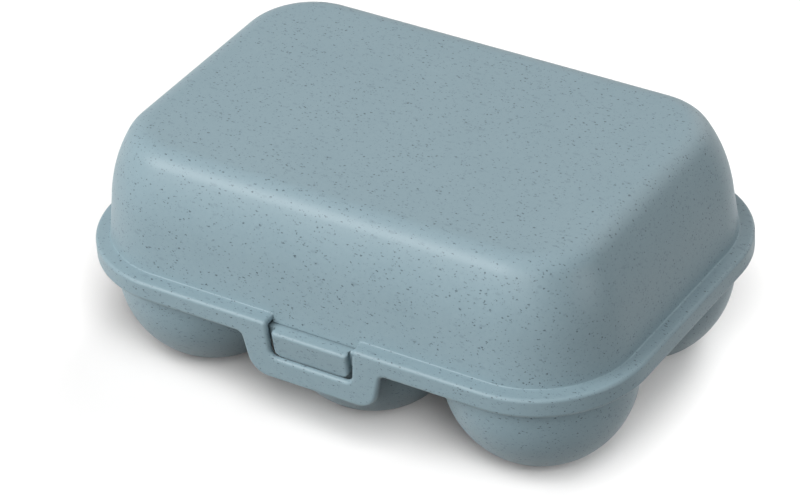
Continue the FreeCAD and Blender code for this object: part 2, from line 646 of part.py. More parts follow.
def check(body):
    """Stop the build if a feature failed or the moulding is not one sound solid."""
    for item in doc.Objects:
        if "Invalid" in item.State or "Error" in item.State:
            raise RuntimeError("%s failed: %s" % (item.Name, item.State))
    shape = body.Shape
    if shape.isNull() or not shape.isValid() or len(shape.Solids) != 1:
        raise RuntimeError("%s is not one valid solid" % body.Label)


bodies = [make_tray(), make_lid(), make_latch_flap()]
doc.recompute()
os.makedirs("parts", exist_ok=True)
for body in bodies:
    check(body)
for body in bodies:
    body.Shape.exportStep("parts/%s.step" % body.Label)
    print("%s: %.2f cm3" % (body.Label, body.Shape.Volume / 1000))
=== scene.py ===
"""Looks of an egg box for six eggs: tray, hinged lid and latch flap in flecked satin plastic.

Lengths in the classes are millimetres in the frame's axes: +X along the box, -Y the latch side, +Z up.
"""

import json
import logging
import math
from dataclasses import dataclass, field
from enum import Enum

import bmesh
import bpy
import numpy as np
from mathutils import Matrix, Vector

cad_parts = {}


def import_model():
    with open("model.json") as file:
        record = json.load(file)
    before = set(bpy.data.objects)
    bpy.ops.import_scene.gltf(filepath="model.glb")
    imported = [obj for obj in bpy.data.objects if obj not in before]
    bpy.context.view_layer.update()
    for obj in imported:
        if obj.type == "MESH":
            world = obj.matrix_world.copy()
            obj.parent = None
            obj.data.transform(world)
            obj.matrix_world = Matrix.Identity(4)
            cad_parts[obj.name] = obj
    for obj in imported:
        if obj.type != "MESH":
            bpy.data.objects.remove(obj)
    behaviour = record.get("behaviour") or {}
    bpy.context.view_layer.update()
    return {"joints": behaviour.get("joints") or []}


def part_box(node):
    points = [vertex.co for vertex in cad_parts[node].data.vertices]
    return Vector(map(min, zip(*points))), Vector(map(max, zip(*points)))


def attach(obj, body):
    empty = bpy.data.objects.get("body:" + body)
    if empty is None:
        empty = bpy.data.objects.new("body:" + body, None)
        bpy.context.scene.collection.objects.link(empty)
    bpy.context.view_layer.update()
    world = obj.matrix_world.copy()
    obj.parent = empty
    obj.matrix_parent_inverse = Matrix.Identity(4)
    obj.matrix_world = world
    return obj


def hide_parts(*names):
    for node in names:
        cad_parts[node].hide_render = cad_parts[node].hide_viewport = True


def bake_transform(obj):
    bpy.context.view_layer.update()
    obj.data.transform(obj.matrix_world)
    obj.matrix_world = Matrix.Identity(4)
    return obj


LOG = logging.getLogger("egg_box")
MM = 0.001
WELD = 2e-6
Pair = tuple[float, float]
Triple = tuple[float, float, float]


class Body(Enum):
    """Rigid bodies of the frame."""

    TRAY = "tray_body"
    LID = "lid_body"
    LATCH = "latch_body"


def arc(centre: Pair, radius: float, first: float, last: float, count: int) -> np.ndarray:
    """Points of an arc: the centre plus the radius times (cos, sin) of evenly spaced angles.

    Args:
        centre: middle of the arc.
        radius: its radius.
        first: first angle, in degrees.
        last: last angle, in degrees.
        count: number of points.

    Returns:
        An array of shape (count, 2).
    """
    angle = np.radians(np.linspace(first, last, count))
    return np.column_stack((centre[0] + radius * np.cos(angle), centre[1] + radius * np.sin(angle)))


def straight(start: Pair, end: Pair, count: int) -> np.ndarray:
    """Evenly spaced points from start to end, as an array of shape (count, 2)."""
    return np.linspace(start, end, count)


def chain(*runs: np.ndarray) -> np.ndarray:
    """Runs of points put end to start, each later run without its first point."""
    return np.concatenate([runs[0], *[run[1:] for run in runs[1:]]])


def facing(lean_deg: float | np.ndarray) -> np.ndarray:
    """Directions (-cos, sin) as (inset, height): a lean of 0 degrees faces out of the skirt, 90 up."""
    angle = np.radians(lean_deg)
    return np.stack((-np.cos(angle), np.sin(angle)), axis=-1)


def lifted(plan: np.ndarray, height: float | np.ndarray) -> np.ndarray:
    """Points of shape (..., 3) from points in plan and heights that spread to their shape."""
    return np.concatenate((plan, np.broadcast_to(height, plan.shape[:-1])[..., None]), axis=-1)


def edge_steps(radius: float, count: int, *beyond: float) -> np.ndarray:
    """Distances from a free edge that sample its rounding evenly in angle: radius (1 - cos).

    Args:
        radius: radius of the round.
        count: number of distances within the round.
        beyond: distances past the round, as multiples of the radius.

    Returns:
        The distances, growing from 0.
    """
    return radius * np.concatenate((1.0 - np.cos(np.linspace(0.0, np.pi / 2, count)), beyond))


def roundover(distance: np.ndarray, radius: float) -> np.ndarray:
    """How far a face falls back near a free edge with a round of the given radius.

    Args:
        distance: distance from the free edge, along the face.
        radius: radius of the round.

    Returns:
        radius - sqrt(radius^2 - (radius - distance)^2) within the radius, and 0 beyond it.
    """
    reach = np.clip(radius - distance, 0.0, radius)
    return radius - np.sqrt(radius**2 - reach**2)


def distance_to_path(points: np.ndarray, path: np.ndarray) -> np.ndarray:
    """Shortest distance from each point to a run of straight segments.

    Args:
        points: array of shape (..., 2).
        path: corners of the run, of shape (n, 2).

    Returns:
        An array of shape (...).
    """
    start, step = path[:-1], np.diff(path, axis=0)
    offset = points[..., None, :] - start
    share = np.clip((offset * step).sum(-1) / np.maximum((step * step).sum(-1), 1e-12), 0.0, 1.0)
    return np.linalg.norm(offset - share[..., None] * step, axis=-1).min(-1)


def placed(name: str, data: bpy.types.ID) -> bpy.types.Object:
    """Make an object from its data and link it to the scene."""
    made = bpy.data.objects.new(name, data)
    bpy.context.scene.collection.objects.link(made)
    return made


class Surface:
    """Grids of points, in millimetres, gathered into one mesh."""

    def __init__(self) -> None:
        """Start with no points and no faces."""
        self.points: list[np.ndarray] = []
        self.faces: list[list[int]] = []
        self.count = 0

    def _add(self, points: np.ndarray) -> np.ndarray:
        """Store points of shape (..., 3) and return their indices in that shape."""
        index = np.arange(self.count, self.count + points[..., 0].size).reshape(points.shape[:-1])
        self.points.append(points.reshape(-1, 3))
        self.count += index.size
        return index

    def grid(self, points: np.ndarray, closed: bool = False, keep: np.ndarray | bool = True) -> None:
        """Add a grid of points joined by quads.

        Args:
            points: array of shape (rows, columns, 3).
            closed: whether the last column joins the first.
            keep: which cells get faces, in a shape that spreads to (rows - 1, gaps).
        """
        index = self._add(points)
        if closed:
            index = np.hstack((index, index[:, :1]))
        quads = np.stack((index[:-1, :-1], index[1:, :-1], index[1:, 1:], index[:-1, 1:]), axis=-1)
        self.faces += quads[np.broadcast_to(keep, quads.shape[:2])].tolist()

    def strip(self, first: np.ndarray, second: np.ndarray, closed: bool = False) -> None:
        """Join two rows of points of shape (n, 3) by one row of quads."""
        self.grid(np.stack((first, second)), closed)

    def sheet(self, outer: np.ndarray, inner: np.ndarray, *edges: int | tuple) -> None:
        """Add both faces of a sheet and close its free edges.

        Args:
            outer: grid of the outer face.
            inner: grid of the inner face, of the same shape.
            edges: index of each row or column that is a free edge.
        """
        self.grid(outer)
        self.grid(inner)
        for edge in edges:
            self.strip(outer[edge], inner[edge])

    def cap(self, ring: np.ndarray) -> None:
        """Fill a flat ring of points of shape (n, 3) with one face."""
        self.faces.append(self._add(ring).tolist())

    def tube(self, points: np.ndarray) -> None:
        """Add a grid of shape (rows, n, 3) whose columns close up, with a face at each end."""
        self.grid(points, closed=True)
        for end in (0, -1):
            self.cap(points[end])

    def include(self, other: "Surface", flip: bool = False) -> None:
        """Take in another surface's grids, or their mirror image in the plane x = 0."""
        step, scale = (-1, (-1.0, 1.0, 1.0)) if flip else (1, (1.0, 1.0, 1.0))
        self.faces += [[i + self.count for i in face[::step]] for face in other.faces]
        self.points += [points * scale for points in other.points]
        self.count += other.count

    def mirrored(self) -> "Surface":
        """Return these grids together with their mirror image in the plane x = 0."""
        both = Surface()
        for flip in (False, True):
            both.include(self, flip)
        return both

    def build(self, name: str, crease_deg: float = 50.0) -> bpy.types.Object:
        """Make the mesh object: weld coincident points, turn faces outwards and shade smoothly.

        Args:
            name: the object's name.
            crease_deg: edges that bend more than this stay sharp.

        Returns:
            The new object, linked to the scene, with its place in its mesh.
        """
        mesh = bpy.data.meshes.new(name)
        mesh.from_pydata((np.concatenate(self.points) * MM).tolist(), [], self.faces)
        work = bmesh.new()
        work.from_mesh(mesh)
        bmesh.ops.remove_doubles(work, verts=work.verts, dist=WELD)
        bmesh.ops.recalc_face_normals(work, faces=work.faces)
        work.to_mesh(mesh)
        work.free()
        mesh.shade_smooth()
        mesh.set_sharp_from_angle(angle=math.radians(crease_deg))
        return placed(name, mesh)


@dataclass(frozen=True)
class Section:
    """A lid wall in section, in rows from the crown down to the skirt's lower edge.

    Each row has an inset from the skirt face and a height, on the outer and on the inner face, and the
    lean of the outward normal.
    """

    outer: np.ndarray
    inner: np.ndarray
    lean: np.ndarray
    foot_row: int

    @property
    def run(self) -> np.ndarray:
        """Length along the outer face from the foot of the wall to each row, growing downwards."""
        steps = np.linalg.norm(np.diff(self.outer, axis=0), axis=1)
        total = np.concatenate(([0.0], np.cumsum(steps)))
        return total - total[self.foot_row]


@dataclass
class Outline:
    """A rounded rectangle in plan, about a middle on the plane x = 0."""

    half_length: float
    half_width: float
    corner: float
    middle_y: float

    def distance(self, points: np.ndarray) -> np.ndarray:
        """Signed distance of points of shape (..., 2) from the outline, negative inside."""
        reach = np.array((self.half_length, self.half_width)) - self.corner
        gap = np.abs(points - (0.0, self.middle_y)) - reach
        outside = np.linalg.norm(np.maximum(gap, 0.0), axis=-1)
        return outside + np.minimum(gap.max(-1), 0.0) - self.corner

    def normal(self, points: np.ndarray, step: float = 1e-4) -> np.ndarray:
        """Outward direction of the outline at the points of shape (..., 2), from small steps aside."""
        aside = step * np.eye(2)
        slope = np.stack([self.distance(points + d) - self.distance(points - d) for d in aside], axis=-1)
        return slope / np.linalg.norm(slope, axis=-1, keepdims=True)

    def around(self, gap_half: float, corner_count: int) -> tuple[np.ndarray, np.ndarray]:
        """Points and normals of the outline, from the front's right round to the front's left.

        Args:
            gap_half: half width of the stretch of the front that is left out.
            corner_count: points in each corner.

        Returns:
            Points and outward normals, each of shape (n, 2).
        """
        p, q = self.half_length - self.corner, self.half_width - self.corner
        ahead, front = np.array([[0.0, -1.0]]), self.middle_y - self.half_width
        points, normals = [np.array([[gap_half, front]])], [ahead]
        for x, y, first in ((p, -q, -90.0), (p, q, 0.0), (-p, q, 90.0), (-p, -q, 180.0)):
            points.append(arc((x, self.middle_y + y), self.corner, first, first + 90.0, corner_count))
            normals.append(arc((0.0, 0.0), 1.0, first, first + 90.0, corner_count))
        return np.concatenate((*points, [[-gap_half, front]])), np.concatenate((*normals, ahead))


@dataclass
class Latch:
    """Outlines of the latch flap, its window and the sheet round it, in the plane of the skirt.

    Points are (x, run), where run is the length along the lid's outer face from the foot of its wall.
    """

    skirt_low: float
    skirt_run: float
    flap_half: float = 20.1
    flap_drop: float = 11.1
    flap_lean: float = 12.8
    flap_corner: float = 6.0
    root_radius: float = 1.6
    window_half: float = 11.7
    window_lean: float = 4.0
    window_bar: float = 6.5
    window_corner: float = 2.2
    sheet_half: float = 35.0
    edge_radius: float = 1.0
    edge_count: int = 7
    middle_count: int = 8

    @property
    def low(self) -> float:
        """Height of the flap's lower edge."""
        return self.skirt_low - self.flap_drop

    @property
    def sill(self) -> float:
        """Height of the window's sill."""
        return self.low + self.window_bar

    @property
    def tip(self) -> float:
        """Half width at which the flap's hollow root leaves the skirt's lower edge."""
        lean = math.radians(self.flap_lean)
        return self.flap_half - self.root_radius * math.tan(lean) + self.root_radius / math.cos(lean)

    def jamb(self, height: float | np.ndarray) -> float | np.ndarray:
        """Half width of the window at each height."""
        return self.window_half + (height - self.sill) * math.tan(math.radians(self.window_lean))

    def inner_path(self) -> np.ndarray:
        """Right half of the window's edge below the skirt, as (x, height): jamb, corner, sill."""
        r, lean = self.window_corner, math.radians(self.window_lean)
        centre = (self.jamb(self.sill + r) - r / math.cos(lean), self.sill + r)
        corner = arc(centre, r, -self.window_lean, -90.0, 11)
        top = (self.jamb(self.skirt_low), self.skirt_low)
        return chain(straight(top, corner[0], 17), corner, straight(corner[-1], (0.0, self.sill), 9))

    def outer_path(self) -> np.ndarray:
        """Right half of the flap's outer edge, as (x, height): hollow root, side, corner, foot."""
        r, root_r, lean = self.flap_corner, self.root_radius, math.radians(self.flap_lean)
        root = arc((self.tip, self.skirt_low - root_r), root_r, 90.0, 180.0 - self.flap_lean, 9)
        side = self.flap_half - (self.skirt_low - self.low - r) * math.tan(lean)
        corner = arc((side - r / math.cos(lean), self.low + r), r, -self.flap_lean, -90.0, 11)
        return chain(root, straight(root[-1], corner[0], 9), corner, straight(corner[-1], (0.0, self.low), 9))

    def as_run(self, places: np.ndarray) -> np.ndarray:
        """Turn (x, height) below the ledge into (x, run)."""
        return np.stack((places[..., 0], self.skirt_run + self.skirt_low - places[..., 1]), axis=-1)

    def flap_grid(self) -> np.ndarray:
        """Grid of the flap's right half, as (x, height): rows along the flap, columns across it.

        Returns:
            An array of shape (rows, columns, 2), crowded towards both edges.
        """
        inner, outer = self.inner_path(), self.outer_path()
        across = outer - inner
        width = np.linalg.norm(across, axis=1, keepdims=True)
        near = edge_steps(self.edge_radius, self.edge_count, 1.4)
        share = np.linspace(0.0, 1.0, self.middle_count)[1:-1]
        base = np.concatenate((near, np.full(share.size, near[-1]), 2.0 * near[-1] - near[::-1]))
        grow = np.concatenate((np.zeros(near.size), share, np.ones(near.size)))
        along = base + grow * (width - 2.0 * near[-1])
        return inner[:, None, :] + across[:, None, :] * (along / width)[..., None]

    def edge_distance(self, points: np.ndarray, window_top: np.ndarray) -> np.ndarray:
        """Distance of the sheet's points from its nearest free edge.

        Args:
            points: points of the sheet as (x, run), of shape (..., 2).
            window_top: right jamb of the window above the flap, as (x, run), from the wall down.

        Returns:
            The distances, of shape (...).
        """
        window = chain(window_top, self.as_run(self.inner_path()))
        skirt = np.array([[self.sheet_half, self.skirt_run], [self.tip, self.skirt_run]])
        lower = chain(skirt, self.as_run(self.outer_path()))
        return np.minimum(distance_to_path(points, window), distance_to_path(points, lower))


@dataclass
class Lid:
    """Lid moulding: skirt, ledge, drafted wall, shoulder and flat crown, with the latch at the front."""

    front_y: float
    skirt_low: float
    half_length: float
    half_width: float = 53.25
    corner: float = 29.0
    wall: float = 1.7
    skirt_depth: float = 4.9
    ledge_width: float = 3.75
    ledge_edge: float = 1.0
    ledge_root: float = 0.35
    ledge_fade: float = 1.2
    ledge_lift: float = 0.35
    ledge_slope: float = 8.0
    under_edge: float = 0.4
    wall_draft: float = 7.0
    wall_height: float = 12.7
    shoulder_radius: float = 40.4
    shoulder_lean: float = 29.7
    crown_radius: float = 7.4
    crown_inset: float = 0.6
    skirt_edge: float = 1.0
    skirt_back: float = 0.6
    skirt_even: float = 1.9
    brow_low: float = 32.86
    brow_edge: float = 0.15
    brow_count: int = 12
    seam_half: float = 26.0
    seam_steps: tuple[float, ...] = (0.15, 0.4, 0.8, 1.4, 2.4)
    corner_count: int = 33
    section: Section = field(init=False)
    latch: Latch = field(init=False)

    def __post_init__(self) -> None:
        """Work out the wall's section and the latch's outlines."""
        self.section = self._section()
        self.latch = Latch(self.skirt_low, float(self.section.run[-1]), edge_radius=self.skirt_edge)

    def _section(self) -> Section:
        """Rows of the wall: arcs and lines that meet in line, with the inner face one wall behind."""
        t, high, ledge_lean = self.wall, self.skirt_low + self.skirt_depth, 90.0 - self.ledge_slope
        draft, slope = math.radians(self.wall_draft), math.radians(self.ledge_slope)
        out, up = facing(self.wall_draft), facing(ledge_lean)
        wall_top = np.array((self.ledge_width + self.wall_height * math.tan(draft), high + self.wall_height))
        shoulder = wall_top - self.shoulder_radius * out
        crown = shoulder + (self.shoulder_radius - self.crown_radius) * facing(self.shoulder_lean)
        brink = np.array((0.0, high + self.ledge_lift))
        reach = (self.ledge_root + up @ brink, self.ledge_root + out @ (self.ledge_width, high))
        root = np.linalg.solve(np.array((up, out)), np.array(reach))
        foot, start = root - self.ledge_root * out, root - self.ledge_root * up
        rows: list[tuple[np.ndarray, np.ndarray, np.ndarray]] = []

        def tangent(radius: float) -> np.ndarray:
            """Middle of a round of this radius between the skirt's face and the ledge."""
            return np.array((radius, brink[1] - radius * (1.0 - math.sin(slope)) / math.cos(slope)))

        def bend(centre: np.ndarray, radius: float, first: float, last: float, count: int) -> None:
            """Add an arc whose normal leans from first to last; the inner radius is a wall less."""
            lean = np.linspace(first, last, count)
            rows.append((centre + radius * facing(lean), centre + (radius - t) * facing(lean), lean))

        def flat(outer: np.ndarray, inner: np.ndarray, lean: float) -> None:
            """Add a straight stretch of the wall."""
            rows.append((outer, inner, np.full(len(outer), lean)))

        bend(crown, self.crown_radius, 90.0, self.shoulder_lean, 19)
        bend(shoulder, self.shoulder_radius, self.shoulder_lean, self.wall_draft, 17)
        flat(straight(wall_top, foot, 8), straight(wall_top - t * out, foot - t * out, 8), self.wall_draft)
        foot_row = sum(len(row[2]) - 1 for row in rows)
        bend(root, -self.ledge_root, self.wall_draft, ledge_lean, 9)
        edge, under = tangent(self.ledge_edge), tangent(t + self.under_edge)
        outer = straight(start, edge + self.ledge_edge * up, 5)
        flat(outer, straight(start - t * up, under + self.under_edge * up, 5), ledge_lean)
        turn = np.linspace(ledge_lean, 0.0, 11)
        rows.append((edge + self.ledge_edge * facing(turn), under + self.under_edge * facing(turn), turn))
        near = edge_steps(self.skirt_edge, 7, 1.4)[::-1]
        even = np.linspace(edge[1], self.skirt_low + self.skirt_even, 4)
        height = np.concatenate((even, self.skirt_low + near))
        back = np.minimum(height, under[1] - (edge[1] - height) * 0.5)
        flat(np.column_stack((0.0 * height, height)), np.column_stack((0.0 * height + t, back)), 0.0)
        return Section(*[chain(*[row[i] for row in rows]) for i in range(3)], foot_row)

    def _face(self, rows: slice, near: np.ndarray, inner: bool, fade: float | np.ndarray = 1.0) -> np.ndarray:
        """Rows of one face, drawn into the wall by the round of the nearest free edge.

        Args:
            rows: which rows of the section.
            near: distance from the free edge, of shape (rows, columns).
            inner: whether it is the inner face.
            fade: share of the round that is kept.

        Returns:
            Insets and heights, of shape (rows, columns, 2).
        """
        section = self.section
        face, fall = section.outer, roundover(near, self.skirt_edge)
        if inner:
            face, fall = section.inner, -roundover(near, self.skirt_back)
        return face[rows][:, None] - (fall * fade)[..., None] * facing(section.lean[rows])[:, None]

    def _swept(self, rows: slice, points: np.ndarray, normals: np.ndarray) -> list[np.ndarray]:
        """Carry rows of the section along the outline: point minus inset times normal, at the height.

        Args:
            rows: which rows of the section.
            points: the outline's points, of shape (n, 2).
            normals: their outward normals.

        Returns:
            Grids of the outer and inner face, of shape (rows, n, 3).
        """
        near = (self.section.run[-1] - self.section.run[rows])[:, None]
        faces = [self._face(rows, near, inner) for inner in (False, True)]
        return [lifted(points - normals * face[..., :1], face[..., 1]) for face in faces]

    def _at_front(self, x: np.ndarray, places: np.ndarray) -> np.ndarray:
        """Points across the front, from x and from insets and heights that spread to one shape."""
        parts = np.broadcast_arrays(x, self.front_y + places[..., 0], places[..., 1])
        return np.stack(parts, axis=-1)

    def _jambs(self) -> np.ndarray:
        """Half width of the window at each row of the section from the foot of the wall down."""
        height = self.section.outer[self.section.foot_row :, 1]
        return self.latch.jamb(height.clip(max=self.skirt_low + self.skirt_depth))

    def _window_top(self) -> np.ndarray:
        """Right jamb of the window above the flap, as (x, run), from the foot of the wall down."""
        return np.column_stack((self._jambs(), self.section.run[self.section.foot_row :]))

    def _spread(self, jamb: float | np.ndarray) -> np.ndarray:
        """Places across the right half, from the jamb to the seam, spaced as the flap's columns are."""
        leg = self.latch.flap_grid()[0, :, 0]
        columns = np.concatenate((leg, self.latch.tip + np.array(self.seam_steps), [self.seam_half]))
        return jamb + (columns - leg[0]) * ((self.seam_half - jamb) / (self.seam_half - leg[0]))

    def _beside(self) -> list[np.ndarray]:
        """Outer and inner faces of the front sheet beside the window, on the right half."""
        rows, x = slice(self.section.foot_row, None), self._spread(self._jambs()[:, None])
        run = np.broadcast_to(self.section.run[rows][:, None], x.shape)
        near = self.latch.edge_distance(np.stack((x, run), axis=-1), self._window_top())
        fade = np.clip(run / self.ledge_fade, 0.0, 1.0)
        return [self._at_front(x, self._face(rows, near, inner, fade)) for inner in (False, True)]

    def _brow(self) -> list[np.ndarray]:
        """Outer and inner faces of the brow, the foot of the wall that hangs above the tongue.

        The outer face goes straight on down the wall's lean, and the inner one runs a wall behind it.

        Returns:
            Two grids of the right half, of shape (rows, columns, 3).
        """
        x = np.linspace(0.0, self._jambs()[0], self.brow_count)
        foot, ahead = self.section.outer[self.section.foot_row], facing(self.wall_draft)
        drop = foot[1] - self.brow_low
        steps = edge_steps(self.brow_edge, 5)[::-1]
        above = np.concatenate((np.linspace(drop, 1.5 * self.brow_edge, 6), steps))
        outer = foot - (drop - above)[:, None] * np.array((math.tan(math.radians(self.wall_draft)), 1.0))
        inner = outer - self.wall * ahead
        outer = outer - roundover(above, self.brow_edge)[:, None] * ahead
        return [self._at_front(x, face[:, None]) for face in (outer, inner)]

    def build_shell(self) -> bpy.types.Object:
        """Make the lid without its flap."""
        made, foot_row, jamb = Surface(), self.section.foot_row, self._jambs()[0]
        outline = Outline(self.half_length, self.half_width, self.corner, self.front_y + self.half_width)
        points, normals = outline.around(self.seam_half, self.corner_count)
        made.sheet(*self._swept(slice(foot_row, None), points, normals), -1)
        half = np.concatenate((np.linspace(0.0, jamb, self.brow_count)[:-1], self._spread(jamb)))
        front = np.concatenate((-half[:0:-1], half))[1:-1]
        points = np.concatenate((points, np.column_stack((front, np.full(front.size, self.front_y)))))
        normals = np.concatenate((normals, np.tile((0.0, -1.0), (front.size, 1))))
        for wall in self._swept(slice(0, foot_row + 1), points, normals):
            made.grid(wall, closed=True)
            inset = wall[0] - lifted(normals, 0.0) * self.crown_inset
            made.strip(wall[0], inset, closed=True)
            made.cap(inset)
        window = Surface()
        window.sheet(*self._beside(), np.s_[:, 0], -1)
        window.sheet(*self._brow(), np.s_[:, -1], -1)
        made.include(window.mirrored())
        return made.build("lid_moulding")

    def build_flap(self) -> bpy.types.Object:
        """Make the latch flap: a U-shaped strap, one wall thick, with all its free edges rounded."""
        half, places = Surface(), self.latch.flap_grid()
        near = self.latch.edge_distance(self.latch.as_run(places), self._window_top())
        insets = (roundover(near, self.skirt_edge), self.wall - roundover(near, self.skirt_back))
        x, height = places[..., 0], places[..., 1]
        faces = [self._at_front(x, np.stack((inset, height), axis=-1)) for inset in insets]
        half.sheet(*faces, np.s_[:, 0], np.s_[:, -1], 0)
        return half.mirrored().build("latch_flap_moulding")


@dataclass
class Tray:
    """Tray moulding: six round cups in a deck with a turned-down rim, and the catch tongue."""

    middle_y: float
    front_y: float
    rim_half_length: float
    rim_top: float
    rim_half_width: float = 50.95
    rim_corner: float = 26.7
    rim_depth: float = 4.6
    rim_edge: float = 0.8
    wall: float = 1.7
    cup_radius: float = 24.2
    cup_pitch_x: float = 47.9
    cup_pitch_y: float = 49.0
    cup_lip: float = 0.8
    foot_radius: float = 4.9
    ray_count: int = 96
    ray_limit: float = 80.0
    ray_halvings: int = 50
    ray_apart: float = 0.01
    ball_count: int = 25
    near_rim: float = 1e-3
    near_midline: float = 1e-6
    deck_shares: tuple[float, ...] = (0.0, 0.1, 0.5, 0.9, 1.0)
    tongue_half: float = 10.95
    tongue_shift: float = -0.4
    tongue_low: float = 24.95
    tongue_recess: float = 0.2
    tongue_lean: float = 7.0
    tongue_nose: float = 0.9
    tongue_foot: float = 0.25
    tongue_end: float = 1.0
    tongue_corner: float = 2.5
    tongue_ramp: float = 2.8
    tongue_fall: float = 0.6
    tongue_reach: float = 4.6
    tongue_proud: float = 0.01
    tongue_face: float = 0.05
    notch_depth: float = 0.55
    notch_width: float = 0.35
    notch_ahead: float = 0.1
    notch_power: int = 12

    @property
    def cup_centre(self) -> float:
        """Height of the middle of each cup's ball."""
        return math.sqrt(self.cup_radius**2 - self.foot_radius**2)

    @property
    def deck_edge(self) -> Outline:
        """The flat of the deck in plan, inside the rim's rounded edge."""
        inset = self.rim_edge
        half = (self.rim_half_length - inset, self.rim_half_width - inset)
        return Outline(half[0], half[1], self.rim_corner - inset, self.middle_y)

    def _cell(self, points: np.ndarray, column: int, row: int) -> np.ndarray:
        """Signed distance from the edge of one cup's share of the deck.

        Args:
            points: plan points relative to the cup's middle, of shape (..., 2).
            column: -1, 0 or 1 along the box.
            row: -1 for the front row, 1 for the rear row.

        Returns:
            The largest of the distances from the rim and from the midlines towards the other cups.
        """
        place = points + (column * self.cup_pitch_x, self.middle_y + row * self.cup_pitch_y / 2)
        edges = [self.deck_edge.distance(place), -row * points[..., 1] - self.cup_pitch_y / 2]
        sides = [side for side in (-1, 1) if abs(column + side) <= 1]
        edges += [side * points[..., 0] - self.cup_pitch_x / 2 for side in sides]
        return np.max(edges, axis=0)

    def _reach(self, way: np.ndarray, column: int, row: int) -> np.ndarray:
        """Distance along each way from a cup's middle to the edge of its share, by halving an interval."""
        near, far = np.zeros(len(way)), np.full(len(way), self.ray_limit)
        for _ in range(self.ray_halvings):
            middle = (near + far) / 2
            inside = self._cell(way * middle[:, None], column, row) < 0
            near, far = np.where(inside, middle, near), np.where(inside, far, middle)
        return near

    def _rays(self, column: int, row: int) -> np.ndarray:
        """Angles of the rays from a cup's middle, with one at each corner of its share of the deck."""
        corners = []
        end_y = row * (self.rim_half_width - self.rim_edge - self.cup_pitch_y / 2)
        for side in (-1, 1):
            end_x = side * (self.rim_half_length - self.rim_edge - self.cup_pitch_x)
            if abs(column + side) <= 1:
                end_x = side * self.cup_pitch_x / 2
                corners.append(math.atan2(end_y, end_x))
            corners.append(math.atan2(-row * self.cup_pitch_y / 2, end_x))
        even = np.arange(self.ray_count) * 2 * np.pi / self.ray_count
        near = np.abs(np.angle(np.exp(1j * (even[:, None] - np.array(corners))))).min(1)
        return np.sort(np.concatenate((even[near > self.ray_apart], np.mod(corners, 2 * np.pi))))

    def _cup(self, made: Surface, column: int, row: int) -> None:
        """Add one cup and its share of the deck, underside and rim.

        Args:
            made: the surface to add to.
            column: -1, 0 or 1 along the box.
            row: -1 for the front row, 1 for the rear row.
        """
        middle = np.array((column * self.cup_pitch_x, self.middle_y + row * self.cup_pitch_y / 2))
        bore, top, deck_low = self.cup_radius - self.wall, self.rim_top, self.rim_top - self.wall
        half = self.cup_pitch_x / 2
        limits = [side * (half if abs(column + side) <= 1 else math.inf) for side in (-1, 1)]

        def ends(angle: np.ndarray) -> tuple[np.ndarray, np.ndarray, np.ndarray]:
            """Ways of rays, the points where they leave the cup's share, and which end at the rim."""
            way = np.column_stack((np.cos(angle), np.sin(angle)))
            edge = middle + way * self._reach(way, column, row)[:, None]
            return way, edge, np.abs(self.deck_edge.distance(edge)) < self.near_rim

        def rings(profile: np.ndarray) -> np.ndarray:
            """Rings of a profile of (radius, height), kept on this side of the midlines to other cups."""
            offset = profile[:, :1, None] * way
            offset[..., 0] = offset[..., 0].clip(*limits)
            return lifted(middle + offset, profile[:, 1:])

        def add_parted(grid: np.ndarray) -> None:
            """Add a closed grid without the cells in a midline, inside the joined walls of two cups."""
            away = np.abs(np.abs(grid[..., 0] - middle[0]) - half) > self.near_midline
            away = np.hstack((away, away[:, :1]))
            keep = away[:-1, :-1] | away[1:, :-1] | away[1:, 1:] | away[:-1, 1:]
            made.grid(grid, closed=True, keep=keep)

        angle = self._rays(column, row)
        way, edge, at_rim = ends(angle)
        gap_at_rim = ends(angle + np.mod(np.roll(angle, -1) - angle, 2 * np.pi) / 2)[2]
        outward = self.deck_edge.normal(edge)
        share = np.array(self.deck_shares)[:, None, None]
        ball = (0.0, self.cup_centre)

        lip = arc((bore + self.cup_lip, top - self.cup_lip), self.cup_lip, 180.0, 90.0, 7)
        inside = rings(np.concatenate((arc(ball, bore, -90.0, 0.0, self.ball_count), lip)))
        made.grid(inside, closed=True)
        made.grid(inside[-1] * (1 - share) + lifted(edge, top) * share, closed=True)

        low = -math.degrees(math.acos(self.foot_radius / self.cup_radius))
        bowl = arc(ball, self.cup_radius, low, 0.0, self.ball_count)
        outside = rings(np.concatenate(([(0.0, 0.0)], bowl, [(self.cup_radius, deck_low)])))
        add_parted(outside)
        under = np.where(at_rim[:, None], edge - outward * (self.wall - self.rim_edge), edge)
        add_parted(lifted(under, deck_low) * (1 - share) + outside[-1] * share)

        profile = self._rim_profile()
        plan = edge + outward * (profile[:, 0] + self.rim_edge)[:, None, None]
        made.grid(lifted(plan, profile[:, 1:]), closed=True, keep=gap_at_rim)

    def _rim_profile(self) -> np.ndarray:
        """The turned-down rim in section, as (offset from its face, height), from deck to underside."""
        r, low = self.rim_edge, self.rim_top - self.rim_depth
        upper = arc((-r, self.rim_top - r), r, 90.0, 0.0, 7)
        foot = arc((-self.wall / 2, low + self.wall / 2), self.wall / 2, 0.0, -180.0, 13)
        back = np.array([[-self.wall, foot[-1, 1]], [-self.wall, self.rim_top - self.wall]])
        return chain(upper, foot, back)

    def build_shell(self) -> bpy.types.Object:
        """Make the cups, deck and rim."""
        made = Surface()
        for row in (-1, 1):
            for column in (-1, 0, 1):
                self._cup(made, column, row)
        return made.build("tray_moulding")

